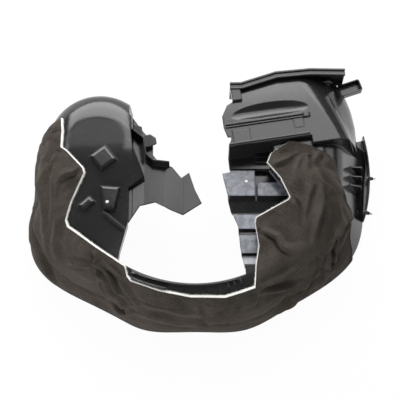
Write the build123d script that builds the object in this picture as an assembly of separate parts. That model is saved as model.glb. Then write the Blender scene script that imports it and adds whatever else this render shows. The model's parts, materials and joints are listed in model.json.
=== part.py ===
from build123d import *
import os
from collections import namedtuple
from math import atan2, cos, radians, sin, tan

# Wheel arch liner, lying on its outboard rim. Millimetres, +Z up (inboard on the car).
# It is drawn about the wheel axis, which is vertical here, and then moved so that the
# origin is at the middle of the box that holds it, on the floor.

# Moulding
wall = 3.0

# Room left round the solids that cut or trim, and how far the inside form goes below the rim
headroom = 60.0
below = -20.0
reach = 600.0
undercut = 5

# Felt
felt_thickness = 8.0
felt_clearance = 0.4
felt_foot = 6.0
felt_wrap = 45.0
felt_reach = 150.0
felt_valley = 0.45
felt_far = [(520, -300), (400, -520), (-400, -520), (-520, -300), (-520, 45)]
felt_edge = [
    (-420, 45), (-334, 78), (-330, 40), (-331, -6), (-318, -15), (-275, -61), (-272, -74),
    (-302, -143), (-317, -190), (-312, -205), (-244, -254), (-170, -303), (-165, -328),
    (-156, -339), (-85, -364), (-12, -378), (73, -379), (109, -368), (146, -355),
    (148, -304), (156, -253), (147, -194), (150, -182), (229, -140), (234, -133),
    (211, -81), (179, -41), (189, -17), (238, 16), (287, 5), (337, -19), (350, -30),
    (354, -61), (367, -90), (382, -117), (394, -142), (397, -190), (408, -236),
]

# Arch. A station is a section of the moulding: its bearing round the wheel axis from the
# crown (degrees, + to the right), the rim radius, the radius and height of the corner where
# the tread wall and the inboard wall would meet, and the round of that corner.
Station = namedtuple("Station", "bearing rim corner height round")
stations = [
    Station(-96, 412, 362, 222, 62),
    Station(-86, 415, 363, 222, 62),
    Station(-74, 436, 369, 216, 66),
    Station(-62, 469, 379, 208, 70),
    Station(-47, 453, 382, 197, 62),
    Station(-25, 427, 384, 187, 46),
    Station(0, 415, 386, 184, 42),
    Station(25, 427, 385, 188, 48),
    Station(47, 441, 374, 198, 62),
    Station(64, 464, 367, 205, 73),
    Station(77, 452, 360, 206, 75),
    Station(90, 449, 355, 206, 75),
    Station(104, 446, 350, 206, 76),
]

# Swells of the felt at each station: on the lower and upper half of the tread wall and on
# the inboard wall
felt_swells = [
    (2, 3, 1), (3, 5, 2), (6, 3, 4), (4, 7, 5), (7, 4, 3), (4, 6, 4), (6, 3, 2), (3, 6, 3), (7, 4, 4),
    (4, 7, 5), (5, 4, 3), (3, 4, 4), (2, 3, 3),
]
hub_radius = 30.0
panel_inner = 55.0
crown_strip_radius = 346.0
edge_skirt = 24.0
skirt_outline = [(-300, -193), (-160, -193), (0, -220), (110, -300), (140, -420), (-300, -420)]
crown_bead_radius = 352.0
crown_bead_span = (-26.0, 17.0)
crown_bead_top = 192.0
crown_ledge_radius = 367.0
crown_ledge_span = (-25.0, -11.0)
crown_rib_bearings = (13.0, 15.5, 18.0)
crown_rib_top = 190.0
left_edge = [(-165, -190), (-184, -262), (-210, -420)]
right_edge = [
    (90, 20), (90, 12), (68, -43), (71, -62), (90, -142), (108, -186), (112, -240), (123, -307),
    (128, -420),
]
opening_gap = [(60, 20), (60, -190)]

# Rounded end of the left leg
dome_centre = 243.0

# Tongue of the left leg: folds as (across, height), and its outline in plan
tongue_folds = [(-185, 184), (-128, 172), (-74, 170), (-30, 158), (40, 176)]
tongue_left = [(-166, 104), (-157, 5), (-126, -75), (-165, -105), (-165, -190)]
tongue_outline = tongue_left + [
    (-137, -142), (-100, -132), (-62, -150), (-30, -161), (17, -134), (0, -97), (-15, -49),
    (-35, -62), (-58, -35), (-88, -30), (-106, -5), (-106, 30), (-130, 56),
]
tongue_far = (60, 300)
tongue_low = 100.0
rib_path = [(-164, 58), (-130, 30), (-123, -14), (-104, -31), (-64, -36)]
rib_top = 204.0
rib_foot = 160.0
tab_height = 190.0
tabs = [
    [(-162, 76), (-134, 64), (-132, 31), (-161, 55)],
    [(-129, 40), (-113, 44), (-99, 34), (-96, 18), (-126, 6)],
]
tab_round = 5.0

# End panel of the right leg. It lies along a bearing of its own, and its stations hold
# the distance past the wheel axis in place of a bearing.
panel_bearing = 99.0
panel_stations = [
    Station(-40, 431, 384, 228, 34),
    Station(60, 426, 364, 226, 58),
    Station(176, 411, 326, 215, 86),
]
panel_step = (292.0, -19.0)
panel_left = [(70, -60), (80, -60), (84, 5), (78, 33), (79, 65), (96, 94), (112, 102), (112, 200)]
panel_left_far = [(0, 200), (0, -60)]
rail_path = [(112, 143), (141, 139), (233, 155), (320, 150), (406, 135)]
rail_top = 234.0
rail_foot = 152.0
rail_width = 18.0
rail_rim = 5.0
rail_rim_height = 4.0
scoop_place = (200.0, 77.0)
scoop_radius = 376.0
scoop_round = 24.0
scoop_depth = 10.0
scoop_lean = 24.0
ridge_run = (84.0, 298.0)
ridge_places = (33.0, 40.0)
ridge_top = 231.0
bead_run = (84.0, 288.0)
bead_place = -13.0
raised_foot = 215.0
raised_pads = [
    ((119.0, 3.0), (44.0, 42.0), 229.0),
    ((266.0, 19.0), (25.0, 26.0), 228.5),
    ((288.0, 37.5), (14.0, 14.0), 232.5),
    ((124.0, 120.0), (24.0, 36.0), 231.0),
]
tray_size = (60.0, 32.0)
tray_place = (424.0, 122.0)
tray_turn = 10.0
tray_foot = 140.0
tray_top = 160.0

# Recess with the pads, in the inboard wall of the right leg: its outline in plan and the
# floor's folds as (up the leg, height)
recess_outline = [
    (20, 60), (197, 60), (197, -17), (188, -41), (220, -84), (244, -135), (160, -186),
    (161, -228), (165, -253), (159, -298), (20, -298),
]
recess_floor = [
    (60, 146), (-34, 146), (-42, 158), (-110, 158), (-116, 132), (-148, 128), (-154, 142),
    (-192, 142), (-197, 132), (-206, 132), (-211, 148), (-258, 148), (-262, 140),
    (-268, 140), (-272, 156), (-330, 170),
]

pocket_outline = [(151, -40), (184, -40), (208, -74), (157, -74), (157, -118), (151, -118)]
pocket_floor = 134.0
recess_rib_run = (152.0, 196.0)
recess_rib_places = (-4.0, -18.0)
recess_rib_top = 157.0
recess_rib_foot = 144.0

# Fins on the tread wall of the right leg
fin_bearings = (81.0, 84.5, 88.0)
fin_span = (44.0, 110.0)
fin_width = 30.0
fin_thickness = 4.0

# Bosses of the left leg
square_boss = 56.0
square_boss_place = (-228.0, -34.0)
square_boss_turn = 38.0
square_boss_top = 230.0
hole_boss = [(-240, -99), (-230, -168), (-196, -170), (-180, -104)]
hole_boss_top = 217.0
side_boss = (46.0, 30.0)
side_boss_place = (-267.0, -150.0)
side_boss_turn = 42.0
side_boss_top = 216.0
bar = [(-226, -170), (-172, -214)]
bar_tops = (208.0, 200.0)
bar_foot = 188.0
bar_width = 9.0
boss_draft = 12.0
boss_depth = 26.0
boss_round = 5.0

# Screw holes
screw_hole = 8.0
left_hole_place = (-216.0, -146.0)
right_hole_place = (129.0, -70.0)

# Fixing flange and its push clips, at the rim of the right leg
flange_radius = 458.0
flange_height = 36.0
flange_overlap = 14.0
flange_span = (74.0, 103.0)
clip_bearings = (76.5, 88.5)
clip_height = 22.0
clip_hole = 8.2
clip_clearance = 0.2
clip_seat = 0.15
clip_head = 16.0
clip_head_thickness = 2.2
clip_barrel = 10.8
clip_barrel_length = 9.0
pin_diameter = 4.2
pin_head = 9.0
pin_head_thickness = 1.6
pin_reach = 7.0


def radial_plane(bearing, shift=0.0):
    turn = radians(bearing)
    along = Vector(cos(turn), sin(turn), 0)
    return Plane(origin=along * shift, x_dir=(sin(turn), -cos(turn), 0), z_dir=-along)


def wall_line(station, offset, foot, inner):
    """Foot, start, middle and end of the round, and inner end, moved outward by offset."""
    lean = atan2(station.rim - station.corner, station.height)
    shift = offset / cos(lean)
    top = station.height + offset
    bend = station.round + offset
    half_turn = (radians(90) - lean) / 2
    run = bend * tan(half_turn)

    def radius_at(z):
        return station.rim + shift - z * tan(lean)

    corner = radius_at(top)
    start = (corner + run * sin(lean), top - run * cos(lean))
    end = (corner - run, top)
    middle_turn = lean + half_turn
    middle = (end[0] + bend * cos(middle_turn), top - bend + bend * sin(middle_turn))
    return (radius_at(foot), foot), start, middle, end, (inner, top)


def swollen(start, end, swell):
    """Arc from start to end that stands out to the right of the straight line by swell."""
    start, end = Vector(*start), Vector(*end)
    along = (end - start).normalized()
    return ThreePointArc(start, (start + end) / 2 + Vector(along.Y, -along.X) * swell, end)


def felt_section(plane, station, swells, inner):
    """Section of the felt, which lies over the moulding's outside and swells in folds."""
    out = wall_line(station, felt_clearance + felt_thickness, felt_foot, inner)
    back = wall_line(station, felt_clearance, felt_foot, inner)
    valley = Vector(*out[0]) + (Vector(*out[1]) - Vector(*out[0])) * felt_valley
    lower, upper, top = swells
    edges = [
        Line(back[0], out[0]),
        swollen(out[0], (valley.X, valley.Y), lower),
        swollen((valley.X, valley.Y), out[1], upper),
        ThreePointArc(out[1], out[2], out[3]),
        swollen(out[3], out[4], top),
        Line(out[4], back[4]),
        Line(back[4], back[3]),
        ThreePointArc(back[3], back[2], back[1]),
        Line(back[1], back[0]),
    ]
    return plane * make_face(edges)


def filled_section(plane, station, inner, inset, foot):
    """Section of the filled form, its outside moved in by inset."""
    out = wall_line(station, -inset, foot, inner)
    edges = [
        Line((inner, foot), out[0]),
        Line(out[0], out[1]),
        ThreePointArc(out[1], out[2], out[3]),
        Line(out[3], out[4]),
        Line(out[4], (inner, foot)),
    ]
    return plane * make_face(edges)


def station_at(bearing):
    """Section of the arch between two stations."""
    after = next(i for i, s in enumerate(stations) if s.bearing >= bearing)
    first, second = stations[after - 1], stations[after]
    share = (bearing - first.bearing) / (second.bearing - first.bearing)
    return Station(*(a + (b - a) * share for a, b in zip(first, second)))


def outline(points):
    face = make_face(Polyline(points, close=True)).face()
    return face if face.normal_at().Z > 0 else -face


def grown(face, amount):
    return offset(face, amount, kind=Kind.INTERSECTION) if amount else face


def prism(face, low, high):
    return extrude(Plane.XY.offset(low) * face, high - low, dir=(0, 0, 1))


def straight_rib(run, place, low, high):
    return prism(trace(Line((run[0], place), (run[1], place)), wall), low, high)


def crown_arc(radius, bearings):
    return trace(CenterArc((0, 0), radius, bearings[0] - 90, bearings[1] - bearings[0]), wall)


def fin(bearing):
    """Upright web on the tread wall, with a level top."""
    station = station_at(bearing)
    low, high = fin_span
    low_radius = wall_line(station, -wall, low, hub_radius)[0][0]
    high_radius = wall_line(station, -wall, high, hub_radius)[0][0]
    foot_edge = [(low_radius, low), (low_radius + 2 * wall, low)]
    top_edge = [(high_radius + wall + fin_width, high), (high_radius, high)]
    return extrude(radial_plane(bearing) * outline(foot_edge + top_edge), fin_thickness / 2, both=True)


def space_above(plane, folds, inset):
    """Space above a folded line, across the plane, grown by inset."""
    face = outline(folds + [(folds[-1][0], above), (folds[0][0], above)])
    return extrude(plane * grown(face, inset), reach, both=True)


def block_below(plane, folds, low, inset):
    face = outline(folds + [(folds[-1][0], low - undercut * inset), (folds[0][0], low - undercut * inset)])
    return extrude(plane * grown(face, -inset), reach, both=True)


highest = max(s.height for s in stations + panel_stations)
lowest = min(s.height for s in stations)
above = highest + headroom

planes = [radial_plane(s.bearing) for s in stations]
left_end = stations[0]
dome_axis = Axis(planes[0].from_local_coords((dome_centre, 0, 0)), (0, 0, 1))
panel_turn = Rot(0, 0, panel_bearing - 90)
panel_planes = [radial_plane(panel_bearing, s.bearing) for s in panel_stations]
panel_foot = panel_stations[0].bearing
step_at, step_down = panel_step
scoop_floor = panel_stations[1].height - scoop_depth

beside_left_wall = [(tongue_far[0], tongue_left[-1][1]), tongue_far, (tongue_left[0][0], tongue_far[1])]
beside_left_wall = outline(tongue_left + beside_left_wall)
tongue_face = outline(tongue_outline)
recess = outline(recess_outline)
notch = outline([(0, -reach), (step_at, -reach), (step_at, step_down), (0, step_down)])
square = RectangleRounded(square_boss, square_boss, boss_round)
square = Pos(*square_boss_place) * Rot(0, 0, square_boss_turn) * square
side = Pos(*side_boss_place) * Rot(0, 0, side_boss_turn) * RectangleRounded(*side_boss, boss_round)
holed = fillet(outline(hole_boss).vertices(), boss_round)
boss_list = [(square, square_boss_top), (side, side_boss_top), (holed, hole_boss_top)]
opening = outline(left_edge + list(reversed(right_edge)) + opening_gap)
opening = Circle(crown_strip_radius) & opening


def scoop(inset):
    """Wheel-shaped space that presses a long leaf into the end panel."""
    ring = Torus(scoop_radius - scoop_round, scoop_round + inset)
    return Rot(scoop_lean, 0, 0) * Pos(0, 0, scoop_radius) * Rot(90, 0, 0) * ring


def form(inset):
    """The liner as a filled solid: its outside, or its inside one wall further in."""
    foot = -undercut * inset
    solid = loft([filled_section(p, s, hub_radius, inset, foot) for p, s in zip(planes, stations)])
    solid -= panel_turn * Pos(reach, reach - inset, 0) * Box(2 * reach, 2 * reach, 4 * reach)
    solid += revolve(filled_section(planes[0], left_end, dome_centre, inset, foot), dome_axis, -180)
    tongue_space = space_above(Plane.XZ, tongue_folds, inset)
    solid -= tongue_space & prism(grown(beside_left_wall, inset), 0, above)
    solid -= space_above(Plane.YZ, recess_floor, inset) & prism(grown(recess, inset), 0, above)
    solid -= prism(grown(outline(pocket_outline), inset), pocket_floor - inset, above)
    tongue = block_below(Plane.XZ, tongue_folds, tongue_low, inset)
    solid += tongue & prism(grown(tongue_face, 2 * inset), 0, above)
    panel_pairs = zip(panel_planes, panel_stations)
    panel = loft([filled_section(p, s, panel_inner - inset, inset, foot) for p, s in panel_pairs])
    panel -= panel_turn * prism(grown(notch, inset), below, above)
    if inset:
        panel -= panel_turn * Pos(0, panel_foot + inset - reach, 0) * Box(4 * reach, 2 * reach, 4 * reach)
    panel -= panel_turn * Pos(*scoop_place, scoop_floor) * scoop(inset)
    solid += panel
    for face, top in boss_list:
        base = Plane.XY.offset(top - boss_depth - inset)
        solid += extrude(base * grown(face, -inset), boss_depth, taper=boss_draft)
    if inset:
        solid -= prism(grown(opening, inset) & outline(skirt_outline), lowest - edge_skirt, above)
    return solid


shell = form(0) - form(wall)

# trimmed edges: opening for the suspension, tongue and left edge of the end panel
left_of_panel = panel_turn * prism(outline(panel_left + panel_left_far), below, above)
past_rail = rail_path + [(reach, rail_path[-1][1]), (reach, reach), (0, reach), (0, rail_path[0][1])]
past_rail = panel_turn * prism(outline(past_rail), below, above)
past_tongue = prism(beside_left_wall - tongue_face, below, above)
shell -= [prism(opening, below, above), past_tongue, left_of_panel, past_rail]

# fixing flange at the rim of the right leg, with the holes for its clips
span = flange_span[1] - flange_span[0]
flange_line = CenterArc((0, 0), flange_radius - wall / 2, flange_span[0] - 90, span)
flange = prism(trace(flange_line, wall), 0, flange_height)
lip_inner = stations[-1].rim - flange_overlap
lip_line = CenterArc((0, 0), (flange_radius + lip_inner) / 2, flange_span[0] - 90, span)
lip = prism(trace(lip_line, flange_radius - lip_inner), 0, wall)


def clip_plane(bearing):
    """Plane across a clip: its origin on the flange's inner face, +Z outward."""
    turn = radians(bearing)
    outward = Vector(sin(turn), -cos(turn), 0)
    place = outward * (flange_radius - wall) + Vector(0, 0, clip_height)
    return Plane(origin=place, x_dir=(0, 0, 1), z_dir=outward)


def turned(points):
    """Solid of revolution about Z from (radius, height) points."""
    return revolve(Plane.XZ * outline(points), Axis.Z, 360)


clip_planes = [clip_plane(b) for b in clip_bearings]
clip_holes = [p * Cylinder(clip_hole / 2, 6 * wall) for p in clip_planes]
shank = clip_hole / 2 - clip_clearance
pin_bore = pin_diameter / 2 + clip_clearance
barrel_end = wall + clip_barrel_length
head_low = -clip_seat - clip_head_thickness
grommet = turned([
    (pin_bore, head_low), (clip_head / 2, head_low), (clip_head / 2, -clip_seat), (shank, -clip_seat),
    (shank, wall), (clip_barrel / 2, wall), (shank, barrel_end), (pin_bore, barrel_end),
])
pin_low = head_low - pin_head_thickness
pin_end = barrel_end + pin_reach
pin = turned([
    (0, pin_low), (pin_head / 2, pin_low), (pin_head / 2, head_low), (pin_diameter / 2, head_low),
    (pin_diameter / 2, pin_end - pin_diameter / 2), (pin_diameter / 4, pin_end), (0, pin_end),
])

# screw holes
hole_places = (left_hole_place, right_hole_place)
screw_holes = [Pos(*place, 0) * Cylinder(screw_hole / 2, 2 * above) for place in hole_places]

# rail along the far end of the end panel
rail_line = Polyline(rail_path)
rail_base = rail_top - rail_rim_height
rail_strip = trace(rail_line, rail_width)
rail_groove = trace(rail_line, rail_width - 2 * rail_rim)
end_wall = panel_turn * prism(trace(rail_line, wall), rail_foot, rail_base)
rail = panel_turn * prism(rail_strip, rail_base - wall, rail_base)
rail_rims = panel_turn * prism(rail_strip - rail_groove, rail_base - wall, rail_top)

# ribs and raised pads of the end panel, and the tray beside it
ridges = [panel_turn * straight_rib(ridge_run, place, raised_foot, ridge_top) for place in ridge_places]
bead = panel_turn * straight_rib(bead_run, bead_place, raised_foot, ridge_top)
pads = [prism(Pos(*place) * Rectangle(*size), raised_foot, top) for place, size, top in raised_pads]
pads = [panel_turn * pad for pad in pads]
tray_face = RectangleRounded(*tray_size, boss_round)
tray = prism(tray_face, tray_foot, tray_top)
tray -= prism(offset(tray_face, -wall), tray_foot + wall, tray_top)
tray = panel_turn * Pos(*tray_place) * Rot(0, 0, tray_turn) * tray

# ribs of the recess, crown and left leg
recess_ribs = [straight_rib(recess_rib_run, y, recess_rib_foot, recess_rib_top) for y in recess_rib_places]
crown_low = lowest - 2 * wall
crown_bead = prism(crown_arc(crown_bead_radius, crown_bead_span), crown_low, crown_bead_top)
crown_ledge = prism(crown_arc(crown_ledge_radius, crown_ledge_span), crown_low, crown_bead_top)
crown_rib = trace(Line((crown_bead_radius, 0), (crown_ledge_radius, 0)), wall)
crown_ribs = [prism(Rot(0, 0, b - 90) * crown_rib, crown_low, crown_rib_top) for b in crown_rib_bearings]
tongue_rib = prism(trace(Polyline(rib_path), wall), rib_foot, rib_top)
tab_faces = [fillet(outline(tab).vertices(), tab_round) for tab in tabs]
tongue_tabs = [prism(face, tab_height - wall, tab_height) for face in tab_faces]
bar_start, bar_end = Vector(*bar[0]), Vector(*bar[1])
bar_length = (bar_end - bar_start).length
bar_side = (bar_end - bar_start).cross(Vector(0, 0, 1))
bar_plane = Plane(origin=bar_start, x_dir=bar_end - bar_start, z_dir=bar_side)
bar_face = outline([(0, bar_foot), (bar_length, bar_foot), (bar_length, bar_tops[1]), (0, bar_tops[0])])
ridge_bar = extrude(bar_plane * bar_face, bar_width / 2, both=True)
fins = [fin(b) for b in fin_bearings]
additions = [end_wall, rail, rail_rims, tray, tongue_rib, ridge_bar, crown_bead, crown_ledge, flange, lip]
additions += ridges + [bead] + pads + recess_ribs + crown_ribs + tongue_tabs + fins
shell += additions
shell -= screw_holes + clip_holes

# felt over the back of the arch, cut to its outline
felt_rows = zip(planes, stations, felt_swells)
felt = loft([felt_section(p, s, swells, felt_reach) for p, s, swells in felt_rows])
felt_end = felt_section(planes[0], left_end, felt_swells[0], dome_centre)
felt_end = revolve(felt_end, dome_axis, -felt_wrap)
felt_face = outline(felt_edge + felt_far)
felt = (felt + felt_end) & prism(felt_face, 0, above)

parts = {
    "liner_shell": shell,
    "felt_pad": felt,
    "clip_grommets": Compound([(p * grommet).solid() for p in clip_planes]),
    "clip_pins": Compound([(p * pin).solid() for p in clip_planes]),
}
box = shell.bounding_box()
for part in parts.values():
    box = box.add(part.bounding_box())
middle = Pos(-(box.min.X + box.max.X) / 2, -(box.min.Y + box.max.Y) / 2, -box.min.Z)
os.makedirs("parts", exist_ok=True)
for name, part in parts.items():
    export_step(middle * part, f"parts/{name}.step")
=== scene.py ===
import json
import math

import bmesh
import bpy
import numpy as np
from mathutils import Matrix, Vector, noise
from mathutils.bvhtree import BVHTree


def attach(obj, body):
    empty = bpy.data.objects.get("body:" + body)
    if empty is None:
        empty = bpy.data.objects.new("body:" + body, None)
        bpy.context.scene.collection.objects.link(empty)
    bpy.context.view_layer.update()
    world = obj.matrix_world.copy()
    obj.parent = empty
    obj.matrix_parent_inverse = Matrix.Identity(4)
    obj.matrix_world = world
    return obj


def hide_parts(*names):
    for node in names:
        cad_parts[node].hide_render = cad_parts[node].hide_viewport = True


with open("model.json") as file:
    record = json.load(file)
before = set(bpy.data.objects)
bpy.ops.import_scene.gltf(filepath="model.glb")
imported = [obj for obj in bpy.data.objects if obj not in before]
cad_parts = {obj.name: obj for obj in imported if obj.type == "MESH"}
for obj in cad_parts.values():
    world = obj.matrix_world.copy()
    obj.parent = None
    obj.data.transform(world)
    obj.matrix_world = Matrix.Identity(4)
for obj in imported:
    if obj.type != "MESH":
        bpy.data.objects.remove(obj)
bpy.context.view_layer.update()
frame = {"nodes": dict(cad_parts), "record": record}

# The wheel's axis, found from the left screw hole, whose place about that axis is known.
LEFT_HOLE = Vector((-0.216, -0.146))
mounts = {m["name"]: Vector(m["pos_m"]) for m in frame["record"]["mounts"]}
axis = mounts["screw_hole_left"].xy - LEFT_HOLE

# The photograph's view: metres, degrees and pixels of its 400 by 400 frame.
IMAGE = 400
VIEW_TARGET = Vector((axis.x, axis.y - 0.100, 0.100))
VIEW_TARGET_PIXEL = (195.0, 200.0)
VIEW_ELEVATION = math.radians(70)
VIEW_DISTANCE = 3.5
METRES_PER_PIXEL = 0.00255
SENSOR = 36.0
focal_pixels = VIEW_DISTANCE / METRES_PER_PIXEL
view_back = Vector((0, -math.cos(VIEW_ELEVATION), math.sin(VIEW_ELEVATION)))
view_up = Vector((0, math.sin(VIEW_ELEVATION), math.cos(VIEW_ELEVATION)))
view_eye = VIEW_TARGET + view_back * VIEW_DISTANCE


def photo_pixels(points):
    """Where points of the row frame, as an array, fall in the photograph."""
    offset = points - np.array(view_eye)
    depth = -offset @ np.array(view_back)
    across = offset[:, 0] / depth
    up = offset @ np.array(view_up) / depth
    x = VIEW_TARGET_PIXEL[0] + focal_pixels * across
    y = VIEW_TARGET_PIXEL[1] - focal_pixels * up
    return np.stack([x, y], 1)


# Shader maths

class Value:
    """A socket of a finish. Arithmetic on it adds Math nodes."""

    def __init__(self, finish, socket):
        self.finish = finish
        self.socket = socket

    def math(self, operation, *others):
        inputs = dict(enumerate([self, *others]))
        return self.finish.node("ShaderNodeMath", {"operation": operation}, inputs)

    def __add__(self, other):
        return self.math("ADD", other)

    def __mul__(self, other):
        return self.math("MULTIPLY", other)

    def __sub__(self, other):
        return self.math("SUBTRACT", other)

    def __rsub__(self, other):
        return (self * -1.0) + other

    def __pow__(self, other):
        return self.math("POWER", other)

    def above(self, low, high):
        """0 below low, 1 above high, and smooth between."""
        settings = {"interpolation_type": "SMOOTHSTEP"}
        inputs = {"Value": self, "From Min": low, "From Max": high}
        return self.finish.node("ShaderNodeMapRange", settings, inputs)

    def most(self, other):
        return self.math("MAXIMUM", other)

    __rmul__ = __mul__


class Finish:
    """A material in the making."""

    def __init__(self, name):
        self.material = bpy.data.materials.new(name)
        self.material.use_nodes = True
        self.tree = self.material.node_tree
        self.shader = self.tree.nodes["Principled BSDF"]
        self.place = self.node("ShaderNodeTexCoord", output="Object")

    def node(self, kind, settings=None, inputs=None, output=0):
        made = self.tree.nodes.new(kind)
        for name, value in (settings or {}).items():
            setattr(made, name, value)
        for name, value in (inputs or {}).items():
            self.feed(made.inputs[name], value)
        return Value(self, made.outputs[output])

    def feed(self, socket, value):
        if isinstance(value, Value):
            self.tree.links.new(value.socket, socket)
        else:
            socket.default_value = value

    def noise(self, scale, detail=4.0, stretch=(1, 1, 1), roughness=0.5):
        """Noise from 0 to 1 at so many waves to the metre, stretched along the axes."""
        where = self.node("ShaderNodeMapping", inputs={"Vector": self.place, "Scale": stretch})
        inputs = {"Vector": where, "Scale": scale, "Detail": detail, "Roughness": roughness}
        return self.node("ShaderNodeTexNoise", inputs=inputs)

    def coordinates(self):
        """The three coordinates of the surface's point."""
        return [self.node("ShaderNodeSeparateXYZ", inputs={0: self.place}, output=n) for n in "XYZ"]

    def within(self, low, high, soft):
        """1 inside a box of the row frame and 0 outside it, with a soft border."""
        inside = 1.0
        for where, start, end in zip(self.coordinates(), low, high):
            inside = inside * where.above(start, start + soft)
            inside = inside * (1.0 - where.above(end - soft, end))
        return inside

    def blend(self, factor, first, second):
        """Mix of two colours."""
        inputs = {"Factor": factor, 6: first, 7: second}
        return self.node("ShaderNodeMix", {"data_type": "RGBA"}, inputs, output=2)

    def attribute(self, name):
        return self.node("ShaderNodeAttribute", {"attribute_name": name}, output="Fac")

    def bump(self, height, strength, distance, normal=None):
        inputs = {"Height": height, "Strength": strength, "Distance": distance}
        if normal:
            inputs["Normal"] = normal
        return self.node("ShaderNodeBump", inputs=inputs)

    def done(self, **inputs):
        """Feeds the shader's sockets, named with _ for a space, and gives the material."""
        for name, value in inputs.items():
            self.feed(self.shader.inputs[name.replace("_", " ")], value)
        return self.material


def rgb(red, green, blue):
    return (red, green, blue, 1.0)


CORNER_SIGNS = [(-1, -1), (1, -1), (1, 1), (-1, 1)]


def turned_rectangle(centre, size, degrees):
    """Corners of a rectangle, turned about its centre, anticlockwise."""
    turn = Matrix.Rotation(math.radians(degrees), 2)
    halves = [Vector((a * size[0] / 2, b * size[1] / 2)) for a, b in CORNER_SIGNS]
    return [tuple(Vector(centre) + turn @ half) for half in halves]


# Pads in the recess of the right leg: glossier, and their upward faces get a painted bluish
# reflection in the plastic's colour
PADS_LOW = (0.030, -0.200, 0.136)
PADS_HIGH = (0.228, 0.070, 0.166)
PADS_SOFT = 0.004

# Rounded end of the left leg: the bearing of its plane and the reach to its centre. Its top
# is crowned by so much between two distances from the centre, and runs into the leg
# with no crease.
DOME_BEARING = math.radians(-96)
DOME_REACH = 0.243
CROWN_START = 0.045
CROWN_END = 0.105
CROWN_DROP = 0.008
CROWN_FLATTENING = 0.76
CROWN_RUN_OUT = 0.08
CREASE_SLOPE = 0.086
CREASE_WIDTH = 0.022
DOME_EDGE = 0.179
DOME_EDGE_SOFT = 0.001
DOME_LOW = 0.10
DOME_HIGH = 0.19

# Bosses of the left leg, as corners about the wheel axis and the height of the top. The edge
# of each top is chamfered.
BOSSES = [
    (turned_rectangle((-0.228, -0.034), (0.056, 0.056), 38), 0.230),
    (turned_rectangle((-0.267, -0.150), (0.046, 0.030), 42), 0.216),
    ([(-0.240, -0.099), (-0.230, -0.168), (-0.196, -0.170), (-0.180, -0.104)], 0.217),
]
BOSS_TAPER = 0.0055
BOSS_SURROUND = 0.008
BOSS_BORDER = 0.9
BOSS_TOP_BAND = (0.0025, 0.0015)
CHAMFER_WIDTH = 0.006
CHAMFER_SLOPE = 0.36


def boss_chamfers(f):
    """Height in metres that slopes the edges of the boss tops."""
    x, y, z = f.coordinates()
    height = 0.0
    for corners, top in BOSSES:
        within = None
        for start, end in zip(corners, corners[1:] + corners[:1]):
            side = (Vector(end) - Vector(start)).normalized()
            corner = axis + Vector(start)
            gap = (y - corner.y) * side.x - (x - corner.x) * side.y - BOSS_TAPER
            within = within.math("MINIMUM", gap) if within else gap
        drop = (within.most(0.0).math("MINIMUM", CHAMFER_WIDTH) - CHAMFER_WIDTH) * CHAMFER_SLOPE
        on_top = z.above(*(top - below for below in BOSS_TOP_BAND))
        here = on_top * within.above(-BOSS_SURROUND, -BOSS_BORDER * BOSS_SURROUND)
        height = drop * here + height
    return height


def dome_crown(f):
    """Height in metres that rounds off the top of the left leg's end."""
    x, y, z = f.coordinates()
    out = (math.sin(DOME_BEARING), -math.cos(DOME_BEARING))
    along = (math.cos(DOME_BEARING), math.sin(DOME_BEARING))
    past = (x - axis.x) * along[0] + (y - axis.y) * along[1]
    aside = (x - axis.x) * out[0] + (y - axis.y) * out[1] - DOME_REACH
    behind = past.math("MINIMUM", 0.0)
    aside = aside * CROWN_FLATTENING
    away = (aside * aside + behind * behind) ** 0.5
    behind_crease = 1.0 - past.above(0.0, CROWN_RUN_OUT)
    crown = away.above(CROWN_START, CROWN_END) * behind_crease * CROWN_DROP
    step = past.most(0.0).math("MINIMUM", CREASE_WIDTH)
    hump = (step - step * step * (0.5 / CREASE_WIDTH)) * CREASE_SLOPE
    left = (x * -1.0).above(DOME_EDGE - DOME_EDGE_SOFT, DOME_EDGE + DOME_EDGE_SOFT)
    here = left * z.above(DOME_LOW, DOME_HIGH)
    return (crown + hump) * here * -1.0


def shell_plastic():
    """Black moulded plastic, semi-gloss, with fine grain, scuffs, a little dust, and a painted
    bluish reflection on the recess pads.
    """
    f = Finish("shell_plastic")
    mottle = f.noise(9, 5)
    smear = f.noise(38, 3, (1, 0.25, 1))
    grain = f.noise(2600, 2)
    scratches = f.noise(520, 2, (1, 0.04, 0.3)).above(0.68, 0.76)
    dust = (f.noise(110, 6) * mottle).above(0.22, 0.48)
    # Painted reflection: the upward faces of the recess pads are coloured a pale bluish grey, in
    # patches
    facing = f.node("ShaderNodeNewGeometry", output="Normal")
    level = f.node("ShaderNodeSeparateXYZ", inputs={0: facing}, output="Z").above(0.85, 0.97)
    pad_reflection_mask = f.within(PADS_LOW, PADS_HIGH, PADS_SOFT) * level
    black, dusty = rgb(0.016, 0.016, 0.0165), rgb(0.06, 0.058, 0.055)
    pad_painted_reflection, scuffed = rgb(0.22, 0.235, 0.28), rgb(0.12, 0.12, 0.12)
    colour = f.blend(dust * 0.22, black, dusty)
    reflection_patches = f.noise(70, 5).above(0.35, 0.65) * 0.5 + 0.5
    colour = f.blend(pad_reflection_mask * reflection_patches * 0.9, colour, pad_painted_reflection)
    colour = f.blend(scratches * 0.04, colour, scuffed)
    roughness = mottle * 0.08 + smear * 0.06 + dust * 0.06 + scratches * 0.05 + 0.1 - pad_reflection_mask * 0.04
    edge = f.node("ShaderNodeBevel", {"samples": 6}, {"Radius": 0.004})
    normal = f.bump(dome_crown(f) + boss_chamfers(f), 1.0, 1.0, edge)
    normal = f.bump(grain, 0.08, 0.0004, normal)
    normal = f.bump(mottle, 0.12, 0.004, normal)
    return f.done(Base_Color=colour, Roughness=roughness, Normal=normal, Specular_IOR_Level=0.5)


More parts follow.
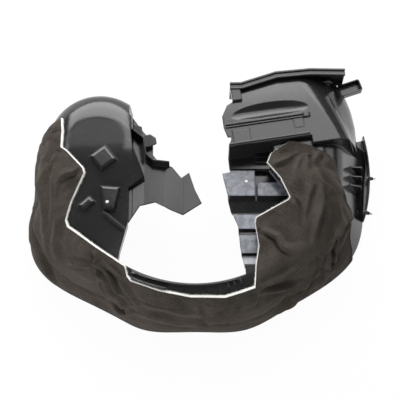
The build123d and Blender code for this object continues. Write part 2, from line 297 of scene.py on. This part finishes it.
def needle_felt():
    """Dark brown-grey needle felt, with pale fibres on its cut edge."""
    f = Finish("needle_felt")
    cloudy = f.noise(14, 5)
    tufts = f.noise(240, 4)
    fibres = f.noise(1500, 3, (1, 0.2, 0.2))
    cross_fibres = f.noise(1500, 3, (0.2, 1, 0.3))
    lint = (fibres * cross_fibres).above(0.33, 0.45)
    tone = cloudy * 0.55 + tufts * 0.45
    dark, light = rgb(0.030, 0.025, 0.021), rgb(0.062, 0.053, 0.045)
    brown = f.blend(tone.above(0.3, 0.7), dark, light)
    brown = f.blend(lint * 0.4, brown, rgb(0.13, 0.115, 0.10))
    ragged = f.attribute("cut") + (tufts - 0.5) * 0.25
    colour = f.blend(ragged.above(0.42, 0.6), brown, rgb(0.86, 0.85, 0.82))
    height = tufts * 0.6 + fibres * 0.25 + cross_fibres * 0.25
    normal = f.bump(height, 0.35, 0.0016)
    f.shader.inputs["Sheen Weight"].default_value = 0.1
    f.shader.inputs["Sheen Roughness"].default_value = 0.6
    f.shader.inputs["Sheen Tint"].default_value = rgb(0.55, 0.48, 0.42)
    return f.done(Base_Color=colour, Roughness=0.95, Normal=normal, Specular_IOR_Level=0.15)


def pale_fibre():
    """Off-white fibres of the cut edge."""
    f = Finish("pale_fibre")
    tone = f.noise(300, 3).above(0.3, 0.7)
    colour = f.blend(tone, rgb(0.62, 0.60, 0.56), rgb(0.88, 0.87, 0.84))
    normal = f.bump(f.noise(2000, 2), 0.2, 0.0005)
    return f.done(Base_Color=colour, Roughness=0.9, Normal=normal, Specular_IOR_Level=0.2)


def clip_plastic(name, base, roughness):
    """Moulded plastic of the clips, a little mottled."""
    f = Finish(name)
    mottle = f.noise(120, 4)
    grain = f.noise(3200, 2)
    darker = rgb(*(0.6 * c for c in base))
    colour = f.blend(mottle.above(0.35, 0.7), darker, rgb(*base))
    normal = f.bump(grain, 0.15, 0.0003)
    return f.done(Base_Color=colour, Roughness=mottle * 0.15 + roughness, Normal=normal)


# Felt. Columns of points go round the wheel axis, and rows from the rim to the cut edge. They
# are found by rays towards the middle of the arch's section, swept by so many degrees.
RAY_START = 0.6
FELT_COLUMNS = 460
FELT_ROWS = 96
FELT_BEARINGS = (-105.0, 96.0)
SECTION_CENTRE = Vector((0.243, 0.06))
SWEEP = (-30.0, 125.0)
SWEEP_STEP = 0.5
BORDER_HALVINGS = 14
# Least upward part of a normal on the felt's outside, and the least where it faces outward
STEEPEST = 0.1
LEANING = -0.4
OUTWARD = 0.6
# The cut edge is rounded over a width that is less on the right, past a bearing.
FELT_THICKNESS = 0.0072
CUT_WIDTH = 0.008
CUT_WIDTH_RIGHT = 0.0035
RIGHT_START = 20
RIGHT_RUN = 15
EDGE_ROUNDING = 0.72
EDGE_ROWS = 4
# Folds start at these distances from the cut edge and the rim, and dip by a share of the felt.
FOLDS_FROM_CUT = 0.02
FOLDS_FROM_RIM = 0.05
DEEPEST = 0.45
# The right end of the felt is cut aslant and gets thinner there.
END_START = 58.0
END_RUN = 8.0
END_THINNING = 0.4


def surface_of(node):
    """Search tree over a node's mesh."""
    mesh = frame["nodes"][node].data
    corners = [v.co.copy() for v in mesh.vertices]
    return BVHTree.FromPolygons(corners, [tuple(p.vertices) for p in mesh.polygons])


def closed_sheet(name, front, back, material):
    """Closed mesh between two grids of points, with faces that point outwards."""
    grid = np.arange(front.shape[0] * front.shape[1]).reshape(front.shape[:2])
    under = grid + grid.size
    quads = []

    def patch(a, b, c, d):
        quads.extend(np.stack([a, b, c, d], -1).reshape(-1, 4).tolist())

    patch(grid[:-1, :-1], grid[1:, :-1], grid[1:, 1:], grid[:-1, 1:])
    patch(under[:-1, :-1], under[:-1, 1:], under[1:, 1:], under[1:, :-1])
    patch(grid[:-1, 0], under[:-1, 0], under[1:, 0], grid[1:, 0])
    patch(grid[:-1, -1], grid[1:, -1], under[1:, -1], under[:-1, -1])
    patch(grid[0, :-1], grid[0, 1:], under[0, 1:], under[0, :-1])
    patch(grid[-1, :-1], under[-1, :-1], under[-1, 1:], grid[-1, 1:])
    corners = np.concatenate([front.reshape(-1, 3), back.reshape(-1, 3)])
    mesh = bpy.data.meshes.new(name)
    mesh.from_pydata(corners.tolist(), [], quads)
    work = bmesh.new()
    work.from_mesh(mesh)
    bmesh.ops.recalc_face_normals(work, faces=work.faces)
    work.to_mesh(mesh)
    work.free()
    mesh.shade_smooth()
    mesh.materials.append(material)
    piece = bpy.data.objects.new(name, mesh)
    bpy.context.scene.collection.objects.link(piece)
    return piece


# Swelling of the right leg's shoulder, below the end panel. Places are along the panel, which
# is turned about the wheel axis, and each has the height of the swelling over the wall.
SHOULDER_TURN = math.radians(9)
SHOULDER_PLACES = [-0.037, 0.020, 0.070, 0.109, 0.134]
SHOULDER_SWELLS = [0.008, 0.023, 0.030, 0.032, 0.029]
SHOULDER_HEIGHTS = (0.045, 0.204)
SHOULDER_COLUMNS = 90
SHOULDER_ROWS = 60
SHOULDER_SINK = 0.0015
SHOULDER_SMOOTHING = 12
SHOULDER_ROUNDNESS = 1.2
SHARPEST = math.radians(40)


def shoulder_swell(material):
    """Shell of the swelling, which follows the wall and sinks a little into it."""
    tree = surface_of("liner_shell")
    out = Vector((math.cos(SHOULDER_TURN), math.sin(SHOULDER_TURN), 0))
    past = Vector((-out.y, out.x, 0))
    places = np.linspace(SHOULDER_PLACES[0], SHOULDER_PLACES[-1], SHOULDER_COLUMNS)
    heights = np.linspace(*SHOULDER_HEIGHTS, SHOULDER_ROWS)
    reach = np.zeros((SHOULDER_COLUMNS, SHOULDER_ROWS))
    for i, place in enumerate(places):
        for j, height in enumerate(heights):
            start = axis.to_3d() + past * place + out * RAY_START + Vector((0, 0, height))
            point = tree.ray_cast(start, -out)[0]
            reach[i, j] = (point - axis.to_3d()).dot(out)
    # The wall leans in all the way up, so what sticks out above is a piece that stands on it.
    reach = np.minimum.accumulate(reach, axis=1)
    up = (heights - heights[0]) / (heights[-1] - heights[0])
    swell = np.interp(places, SHOULDER_PLACES, SHOULDER_SWELLS)
    for _ in range(SHOULDER_SMOOTHING):
        swell[1:-1] = (swell[:-2] + 2 * swell[1:-1] + swell[2:]) / 4
    rise = swell[:, None] * np.sin(np.pi * up) ** SHOULDER_ROUNDNESS

    def grid(offset):
        spots = np.array(axis.to_3d()) + (reach + offset)[..., None] * np.array(out)
        spots = spots + places[:, None, None] * np.array(past)
        return spots + heights[None, :, None] * np.array((0, 0, 1))

    front, back = grid(rise - SHOULDER_SINK / 2), grid(-SHOULDER_SINK)
    piece = closed_sheet("shoulder_swell", front, back, material)
    piece.data.set_sharp_from_angle(angle=SHARPEST)
    return piece


def felt_surface():
    """Columns of points and normals on the felt's outside, each from rim to cut edge."""
    tree = surface_of("felt_pad")
    columns = []

    def hit(bearing, angle):
        out = Vector((math.sin(bearing), -math.cos(bearing), 0))
        flat = axis.to_3d() + out * SECTION_CENTRE.x + Vector((0, 0, SECTION_CENTRE.y))
        ray = out * math.cos(angle) + Vector((0, 0, math.sin(angle)))
        point, normal, _, _ = tree.ray_cast(flat + ray * RAY_START, -ray, RAY_START)
        if point is None or normal.z < (LEANING if normal.dot(out) > OUTWARD else STEEPEST):
            return None
        return point, normal

    def border(bearing, inside, outside):
        for _ in range(BORDER_HALVINGS):
            middle = (inside + outside) / 2
            if hit(bearing, middle):
                inside = middle
            else:
                outside = middle
        return inside

    steps = np.radians(np.arange(SWEEP[0], SWEEP[1], SWEEP_STEP))
    for degrees in np.linspace(*FELT_BEARINGS, FELT_COLUMNS):
        bearing = math.radians(degrees)
        good = [a for a in steps if hit(bearing, a)]
        if len(good) < 2:
            continue
        low = border(bearing, good[0], good[0] - math.radians(SWEEP_STEP))
        high = border(bearing, good[-1], good[-1] + math.radians(SWEEP_STEP))
        found = [hit(bearing, a) for a in [low, *good[1:-1], high]]
        found = [f for f in found if f]
        points = np.array([f[0] for f in found])
        normals = np.array([f[1] for f in found])
        run = np.r_[0, np.cumsum(np.linalg.norm(np.diff(points, axis=0), axis=1))]
        wanted = np.linspace(0, run[-1], FELT_ROWS)
        spaced = [np.interp(wanted, run, points[:, i]) for i in range(3)]
        turned = [np.interp(wanted, run, normals[:, i]) for i in range(3)]
        columns.append((degrees, np.stack(spaced, 1), np.stack(turned, 1), wanted))
    return columns


# Folds of the felt as lines in the photograph's pixels, each with its width in pixels and
# its height in metres. A fold stands up along its line and fades towards its ends.
FOLDS = [
    ([(44, 148), (43, 180), (44, 212)], 2.2, 0.0045),
    ([(55, 155), (48, 165), (44, 185), (46, 202), (44, 231)], 2.0, 0.004),
    ([(51, 146), (49, 160), (50, 175)], 2.0, -0.003),
    ([(58, 183), (58, 196)], 1.5, 0.003),
    ([(36, 205), (35, 240), (41, 262)], 3, 0.004),
    ([(60, 215), (56, 240), (60, 262)], 3, 0.003),
    ([(71, 259), (79, 262), (91, 264)], 2.2, 0.005),
    ([(95, 261), (105, 272), (113, 281), (125, 303)], 1.7, 0.005),
    ([(97, 270), (108, 288), (129, 309)], 1.6, 0.0045),
    ([(96, 266), (101, 286), (108, 300)], 1.6, 0.004),
    ([(103, 263), (118, 276), (138, 303)], 1.8, 0.0035),
    ([(101, 268), (112, 285), (128, 304)], 1.3, -0.004),
    ([(140, 312), (165, 318), (200, 322)], 2.6, 0.004),
    ([(145, 303), (185, 311), (215, 312)], 3, 0.003),
    ([(210, 320), (226, 314), (237, 305)], 2.4, 0.005),
    ([(256, 289), (276, 279), (291, 271), (300, 264)], 2.2, 0.005),
    ([(261, 293), (283, 286), (297, 280)], 2.0, 0.004),
    ([(276, 314), (291, 298), (305, 280), (315, 260)], 2.4, 0.005),
    ([(286, 308), (300, 292), (318, 270)], 2.0, 0.004),
    ([(314, 171), (321, 184), (322, 200), (319, 215), (314, 235), (313, 243)], 2.4, 0.006),
    ([(316, 188), (311, 212), (307, 236)], 2.2, -0.004),
    ([(286, 191), (296, 210), (300, 224)], 2.4, 0.0045),
    ([(320, 150), (316, 163)], 2.4, 0.005),
    ([(329, 241), (325, 274)], 1.8, 0.004),
    ([(336, 238), (332, 262)], 1.8, 0.004),
    ([(335, 200), (338, 222), (330, 245)], 2.6, 0.003),
    ([(300, 152), (296, 170), (300, 190)], 3, 0.003),
]
# Creases, where one side of the felt folds over the other: the side to the left of the line,
# as one follows it in the photograph, stands up by the height and drops at the line.
CREASES = [
    ([(61, 181), (66, 177), (74, 174), (78, 169)], 5, 0.0045),
    ([(57, 287), (50, 269), (43, 255)], 6, 0.005),
    ([(93, 250), (95, 258), (92, 265)], 4, 0.004),
    ([(134, 310), (122, 309), (112, 304)], 5, 0.004),
    ([(271, 168), (286, 162), (296, 155)], 6, 0.0045),
    ([(260, 230), (275, 239), (281, 249), (289, 253)], 6, 0.006),
    ([(325, 253), (331, 239), (341, 227), (352, 216)], 6, 0.005),
    ([(313, 147), (312, 158), (313, 170)], 5, 0.004),
    ([(277, 315), (297, 302), (306, 291)], 5, 0.004),
    ([(222, 323), (232, 315), (240, 306)], 6, 0.003),
]
PUCKERS = [(313, 170), (94, 257), (58, 285), (262, 232), (205, 312)]
PUCKER_DEPTH = 0.004
PUCKER_WIDTH = 4.0
FOLD_STRENGTH = 2.3
# A valley lies beside each fold, at so many widths from its line.
VALLEY_DEPTH = 0.4
VALLEY_PLACE = 1.9
# A crease drops within a few tenths of a pixel, into a groove.
LAP_EDGE = 0.45
LAP_RISE = 1.3
GROOVE_WIDTH = 1.6
GROOVE_DEPTH = 0.6
# Folds fade over their length, and their lines sway by some pixels. The sway's noise starts
# from the clock unless it is given a seed.
FADE_START = 0.05
FADE_SPAN = 0.9
FADE_FULLNESS = 0.7
FOLD_SEED = 3
SWAY_COUNT = 22
SWAY_PIXELS = 1.5
# Unevenness all over the felt: waves to the metre and heights. Streaks run along the arch.
SWELL_COUNT = 9
SWELL_HEIGHT = 0.002
RIPPLE_COUNT = 34
RIPPLE_HEIGHT = 0.0007
STREAK_LENGTH = 2.6
STREAK_COUNT = 48.0
STREAK_HEIGHT = 0.0013
FRACTAL = (1.0, 2.0, 3)


def distance_to_line(pixels, line):
    """Distance of each pixel to a run of points, below 0 on its left, and its share along."""
    line = np.array(line, float)
    lengths = np.linalg.norm(np.diff(line, axis=0), axis=1)
    starts = np.r_[0, np.cumsum(lengths)]
    nearest = np.full(len(pixels), 1e9)
    along = np.zeros(len(pixels))
    for start, end, length, before in zip(line, line[1:], lengths, starts):
        share = np.clip((pixels - start) @ (end - start) / length**2, 0, 1)
        away = pixels - start - share[:, None] * (end - start)
        gap = np.linalg.norm(away, axis=1)
        side = np.sign((end - start)[0] * away[:, 1] - (end - start)[1] * away[:, 0])
        closer = gap < np.abs(nearest)
        nearest = np.where(closer, gap * np.where(side < 0, -1, 1), nearest)
        along = np.where(closer, (before + share * length) / starts[-1], along)
    return nearest, along


def fade(along):
    """Share of a fold's height at a share of its length."""
    span = np.clip(along * FADE_SPAN + FADE_START, 0, 1)
    return np.clip(np.sin(np.pi * span), 0, 1) ** FADE_FULLNESS


def felt_relief(points, degrees, from_rim):
    """Height of the felt over its even layer."""
    pixels = photo_pixels(points)
    noise.seed_set(FOLD_SEED)
    sway = np.array([noise.noise_vector(Vector(p) * SWAY_COUNT)[:2] for p in points])
    pixels = pixels + sway * SWAY_PIXELS
    relief = np.zeros(len(points))
    for line, width, height in FOLDS:
        gap, along = distance_to_line(pixels, line)
        gap = np.abs(gap)
        valley = np.exp(-(((gap - VALLEY_PLACE * width) / width) ** 2))
        crest = np.exp(-((gap / width) ** 2)) - VALLEY_DEPTH * valley
        relief += FOLD_STRENGTH * height * fade(along) * crest
    for line, width, height in CREASES:
        gap, along = distance_to_line(pixels, line)
        raised = np.exp(-((gap / width) ** 2)) / (1 + np.exp(gap / LAP_EDGE))
        sunk = np.exp(-(((gap - GROOVE_WIDTH) / GROOVE_WIDTH) ** 2))
        relief += FOLD_STRENGTH * height * fade(along) * (LAP_RISE * raised - GROOVE_DEPTH * sunk)
    for place in PUCKERS:
        gap = np.linalg.norm(pixels - np.array(place, float), axis=1)
        relief -= PUCKER_DEPTH * np.exp(-((gap / PUCKER_WIDTH) ** 2))
    swell = np.array([noise.fractal(Vector(p) * SWELL_COUNT, *FRACTAL) for p in points])
    ripple = np.array([noise.noise(Vector(p) * RIPPLE_COUNT) for p in points])
    run = np.stack([np.radians(degrees) * STREAK_LENGTH, from_rim * STREAK_COUNT], 1)
    streak = np.array([noise.fractal(Vector((a, b, 0)), *FRACTAL) for a, b in run])
    return relief + SWELL_HEIGHT * swell + RIPPLE_HEIGHT * ripple + STREAK_HEIGHT * streak


# Cloth simulation of the felt: it is laid on a little too large and held at its edges, so
# that it buckles into folds.
CLOTH_COLUMNS = 3
CLOTH_ROWS = 2
CLOTH_FRAMES = 16
CLOTH_GROWTH = 0.06
CLOTH_QUALITY = 5
CLOTH_MASS = 0.4
CLOTH_STIFFNESS = 40
CLOTH_SHEAR = 20
CLOTH_BENDING = 12.0
CLOTH_MOVE = 0.006
CLOTH_HELD = 0.012


def buckled(points, normals, held):
    """How far each point of a grid moves along its normal when the cloth settles."""
    count, rows = points.shape[:2]
    mesh = bpy.data.meshes.new("felt_cloth")
    index = np.arange(count * rows).reshape(count, rows)
    quads = np.stack([index[:-1, :-1], index[1:, :-1], index[1:, 1:], index[:-1, 1:]], -1)
    mesh.from_pydata(points.reshape(-1, 3).tolist(), [], quads.reshape(-1, 4).tolist())
    cloth_piece = bpy.data.objects.new("felt_cloth", mesh)
    bpy.context.scene.collection.objects.link(cloth_piece)
    pins = cloth_piece.vertex_groups.new(name="held")
    for vertex in np.flatnonzero(held.reshape(-1)):
        pins.add([int(vertex)], 1.0, "REPLACE")
    cloth = cloth_piece.modifiers.new("cloth", "CLOTH")
    settings = cloth.settings
    settings.quality = CLOTH_QUALITY
    settings.mass = CLOTH_MASS
    settings.tension_stiffness = CLOTH_STIFFNESS
    settings.compression_stiffness = CLOTH_STIFFNESS
    settings.shear_stiffness = CLOTH_SHEAR
    settings.bending_stiffness = CLOTH_BENDING
    settings.shrink_min = -CLOTH_GROWTH
    settings.vertex_group_mass = "held"
    settings.effector_weights.gravity = 0
    cloth.collision_settings.use_collision = False
    cloth.point_cache.frame_end = CLOTH_FRAMES
    for step in range(1, CLOTH_FRAMES + 1):
        bpy.context.scene.frame_set(step)
    settled = cloth_piece.evaluated_get(bpy.context.evaluated_depsgraph_get())
    moved = np.array([v.co for v in settled.data.vertices]).reshape(points.shape)
    bpy.data.objects.remove(cloth_piece)
    bpy.context.scene.frame_set(1)
    rise = ((moved - points) * normals).sum(-1)
    return CLOTH_MOVE * np.tanh(rise / CLOTH_MOVE)


def stretched(values, length, across):
    """Values on a grid, spread over more points along one side of it."""
    old = np.linspace(0, 1, values.shape[across])
    new = np.linspace(0, 1, length)
    return np.apply_along_axis(lambda row: np.interp(new, old, row), across, values)


# Loose fibres along the felt's cut edge
FIBRES = 2600
FIBRE_LENGTH = 0.0042
FIBRE_RADIUS = 0.00035
FIBRE_SPREAD = 0.9
FIBRE_SIDES = 4
FIBRE_SIZES = (0.4, 1.2)
FIBRE_SEED = 7


def fibre_tree():
    """Geometry nodes: cones along a line of points, that lean along the attribute "away"."""
    tree = bpy.data.node_groups.new("cut_edge_fibres", "GeometryNodeTree")
    sockets = [
        ("Geometry", "Geometry"), ("Fibres", "Int"), ("Length", "Float"), ("Radius", "Float"),
        ("Spread", "Float"), ("Seed", "Int"), ("Material", "Material"),
    ]
    for name, kind in sockets:
        tree.interface.new_socket(name, in_out="INPUT", socket_type="NodeSocket" + kind)
    tree.interface.new_socket("Geometry", in_out="OUTPUT", socket_type="NodeSocketGeometry")

    def node(kind, settings=None, **links):
        made = tree.nodes.new(kind)
        for name, value in (settings or {}).items():
            setattr(made, name, value)
        for name, source in links.items():
            key = int(name[1:]) if name[1:].isdigit() else name.replace("_", " ")
            socket = made.inputs[key]
            if isinstance(source, bpy.types.NodeSocket):
                tree.links.new(source, socket)
            else:
                socket.default_value = source
        return made

    given = node("NodeGroupInput").outputs
    line = node("GeometryNodeMeshToCurve", Mesh=given["Geometry"]).outputs[0]
    spaced = node("GeometryNodeResampleCurve", Curve=line, Count=given["Fibres"]).outputs[0]
    cone = node(
        "GeometryNodeMeshCone", Vertices=FIBRE_SIDES, Radius_Top=0.0,
        Radius_Bottom=given["Radius"], Depth=given["Length"],
    )
    vector = {"data_type": "FLOAT_VECTOR"}
    away = node("GeometryNodeInputNamedAttribute", vector, Name="away").outputs[0]
    least, most = (-1.0, -1.0, -1.0), (1.0, 1.0, 1.0)
    stray = node("FunctionNodeRandomValue", vector, _0=least, _1=most, Seed=given["Seed"])
    stray = node(
        "ShaderNodeVectorMath", {"operation": "SCALE"}, _0=stray.outputs[0], Scale=given["Spread"],
    )
    lean = node("ShaderNodeVectorMath", {"operation": "ADD"}, _0=away, _1=stray.outputs[0])
    turn = node("FunctionNodeAlignRotationToVector", {"axis": "Z"}, Vector=lean.outputs[0])
    short, long = FIBRE_SIZES
    size = node(
        "FunctionNodeRandomValue", {"data_type": "FLOAT"}, _2=short, _3=long, Seed=given["Seed"],
    )
    placed = node(
        "GeometryNodeInstanceOnPoints", Points=spaced, Instance=cone.outputs[0],
        Rotation=turn.outputs[0], Scale=size.outputs[1],
    )
    real = node("GeometryNodeRealizeInstances", Geometry=placed.outputs[0])
    dressed = node("GeometryNodeSetMaterial", Geometry=real.outputs[0], Material=given["Material"])
    node("NodeGroupOutput", Geometry=dressed.outputs[0])
    return tree


def cut_fibres(points, away, material):
    """Fibres along the cut edge, as a plain mesh."""
    mesh = bpy.data.meshes.new("cut_edge")
    steps = range(len(points) - 1)
    mesh.from_pydata(points.tolist(), [(i, i + 1) for i in steps], [])
    values = mesh.attributes.new("away", "FLOAT_VECTOR", "POINT")
    values.data.foreach_set("vector", away.astype(np.float32).reshape(-1))
    line = bpy.data.objects.new("cut_edge", mesh)
    bpy.context.scene.collection.objects.link(line)
    modifier = line.modifiers.new("fibres", "NODES")
    modifier.node_group = fibre_tree()
    wanted = {
        "Fibres": FIBRES, "Length": FIBRE_LENGTH, "Radius": FIBRE_RADIUS, "Spread": FIBRE_SPREAD,
        "Seed": FIBRE_SEED, "Material": material,
    }
    for item in modifier.node_group.interface.items_tree:
        if item.in_out == "INPUT" and item.name in wanted:
            modifier[item.identifier] = wanted[item.name]
    line.update_tag()
    graph = bpy.context.evaluated_depsgraph_get()
    made = bpy.data.meshes.new_from_object(line.evaluated_get(graph))
    bpy.data.objects.remove(line)
    piece = bpy.data.objects.new("felt_fibres", made)
    bpy.context.scene.collection.objects.link(piece)
    return piece


def felt_pad(material, pale):
    """The felt with its folds, and the fibres of its cut edge."""
    columns = felt_surface()
    degrees = np.repeat([c[0] for c in columns], FELT_ROWS)
    outside = np.concatenate([c[1] for c in columns])
    normals = np.concatenate([c[2] for c in columns])
    normals /= np.linalg.norm(normals, axis=1)[:, None]
    from_rim = np.concatenate([c[3] for c in columns])
    from_cut = np.concatenate([c[3][-1] - c[3] for c in columns])
    count = len(columns)
    grid = np.arange(count * FELT_ROWS).reshape(count, FELT_ROWS)

    right = np.clip((degrees - RIGHT_START) / RIGHT_RUN, 0, 1)
    width = CUT_WIDTH * (1 - right) + CUT_WIDTH_RIGHT * right
    to_edge = np.clip(from_cut / width, 0, 1)
    to_rim = np.clip(from_rim / CUT_WIDTH_RIGHT, 0, 1)
    rise = np.sqrt(1 - (1 - np.minimum(to_edge, to_rim)) ** 2)
    inner = np.clip(np.minimum(from_cut / FOLDS_FROM_CUT, from_rim / FOLDS_FROM_RIM), 0, 1)
    relief = felt_relief(outside, degrees, from_rim) * inner
    coarse = grid[::CLOTH_COLUMNS, ::CLOTH_ROWS]
    laid = (outside + normals * relief[:, None])[coarse]
    held = np.minimum(from_cut, from_rim)[coarse] < CLOTH_HELD
    held[[0, -1], :] = True
    rise_of_cloth = buckled(laid, normals[coarse], held)
    rise_of_cloth = stretched(stretched(rise_of_cloth, count, 0), FELT_ROWS, 1)
    relief = relief + rise_of_cloth.reshape(-1) * inner
    relief = np.maximum(relief, -DEEPEST * FELT_THICKNESS)
    shown = outside + normals * (relief - FELT_THICKNESS * EDGE_ROUNDING * (1 - rise))[:, None]
    thinning = END_THINNING * np.clip((degrees - END_START) / END_RUN, 0, 1)
    hidden = outside - normals * (FELT_THICKNESS * (1 - thinning))[:, None]

    piece = closed_sheet("felt_blanket", shown[grid], hidden[grid], material)
    cut = np.concatenate([1 - to_edge, (from_cut < width).astype(float)])
    values = piece.data.attributes.new("cut", "FLOAT", "POINT")
    values.data.foreach_set("value", cut.astype(np.float32))
    edge = shown[grid[:, -1]]
    away = edge - shown[grid[:, -EDGE_ROWS]]
    away /= np.linalg.norm(away, axis=1)[:, None]
    return piece, cut_fibres(edge, away, pale)


# Stage: the floor, and the lamps as name, place, aim, size in metres and watts
FLOOR_HALF = 16.0
FLOOR_GAP = 0.0005
FLOOR_WHITENESS = 0.96
MIDDLE = (0, 0, 0.1)
LAMPS = [
    ("top_softbox", (0.60, 1.10, 2.24), (0.60, 0.20, 0.1), (1.4, 1.2), 19),
    ("far_softbox", (-0.3, 2.1, 1.3), MIDDLE, (2.8, 2.1), 105),
    ("left_card", (-1.1, 0.75, 2.1), MIDDLE, (0.6, 0.6), 3.4),
    ("dome_card", (-0.42, 1.02, 2.24), (-0.27, 0.13, 0.22), (0.6, 0.36), 0.9),
    ("right_softbox", (2.1, 1.0, 1.5), MIDDLE, (1.0, 1.2), 8),
    ("near_fill", (-1.2, -2.0, 0.95), MIDDLE, (0.7, 0.5), 38),
]
WORLD_STRENGTH = 0.15
CAMERA_END = 50


def floor_finish():
    """Pale floor that reads as white to the camera and keeps a soft shadow."""
    f = Finish("pale_floor")
    names = ("Is Camera Ray", "Is Glossy Ray", "Is Transmission Ray")
    camera, glossy, through = [f.node("ShaderNodeLightPath", output=name) for name in names]
    rays = camera.most(glossy).most(through)
    glow = f.node("ShaderNodeEmission", inputs={"Color": rgb(1, 1, 1), "Strength": 1.0})
    f.done(Base_Color=rgb(0.9, 0.9, 0.9), Roughness=0.9)
    shader = Value(f, f.shader.outputs[0])
    mixed = f.node("ShaderNodeMixShader", inputs={0: rays * FLOOR_WHITENESS, 1: shader, 2: glow})
    f.tree.links.new(mixed.socket, f.tree.nodes["Material Output"].inputs["Surface"])
    return f.material


def lamp(name, place, aim, size, watts):
    """Soft rectangular lamp that points at its aim."""
    data = bpy.data.lights.new(name, "AREA")
    data.shape = "RECTANGLE"
    data.size, data.size_y = size
    data.energy = watts
    made = bpy.data.objects.new(name, data)
    made.location = place
    made.rotation_mode = "QUATERNION"
    made.rotation_quaternion = (Vector(aim) - Vector(place)).to_track_quat("-Z", "Y")
    bpy.context.scene.collection.objects.link(made)


def studio():
    """Pale floor, lamps and a faint even light."""
    mesh = bpy.data.meshes.new("floor")
    corners = [(a * FLOOR_HALF, b * FLOOR_HALF, 0) for a, b in CORNER_SIGNS]
    mesh.from_pydata(corners, [], [(0, 1, 2, 3)])
    floor = bpy.data.objects.new("floor", mesh)
    floor.location.z = -FLOOR_GAP
    mesh.materials.append(floor_finish())
    bpy.context.scene.collection.objects.link(floor)
    for row in LAMPS:
        lamp(*row)
    world = bpy.data.worlds.new("studio")
    bpy.context.scene.world = world
    world.use_nodes = True
    light = world.node_tree.nodes["Background"]
    light.inputs["Color"].default_value = rgb(1, 1, 1)
    light.inputs["Strength"].default_value = WORLD_STRENGTH
    bpy.context.scene.view_settings.view_transform = "Standard"


def photo_camera():
    """Camera at the photograph's view."""
    data = bpy.data.cameras.new("photo_camera")
    data.sensor_width = SENSOR
    data.lens = focal_pixels / IMAGE * SENSOR
    data.shift_x = (IMAGE / 2 - VIEW_TARGET_PIXEL[0]) / IMAGE
    data.clip_end = CAMERA_END
    camera = bpy.data.objects.new("photo_camera", data)
    camera.location = view_eye
    camera.rotation_mode = "QUATERNION"
    camera.rotation_quaternion = (-view_back).to_track_quat("-Z", "Y")
    bpy.context.scene.collection.objects.link(camera)
    bpy.context.scene.camera = camera


def dress(node, material):
    """Gives a node of the frame its finish."""
    mesh = frame["nodes"][node].data
    mesh.materials.clear()
    mesh.materials.append(material)


plastic = shell_plastic()
dress("liner_shell", plastic)
dress("clip_grommets", clip_plastic("clip_plastic", (0.02, 0.02, 0.022), 0.35))
dress("clip_pins", clip_plastic("pin_plastic", (0.55, 0.55, 0.53), 0.4))

blanket, fibres = felt_pad(needle_felt(), pale_fibre())
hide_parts("felt_pad")
for piece in (blanket, fibres):
    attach(piece, "root")

shoulder = shoulder_swell(plastic)
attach(shoulder, "root")

studio()
photo_camera()
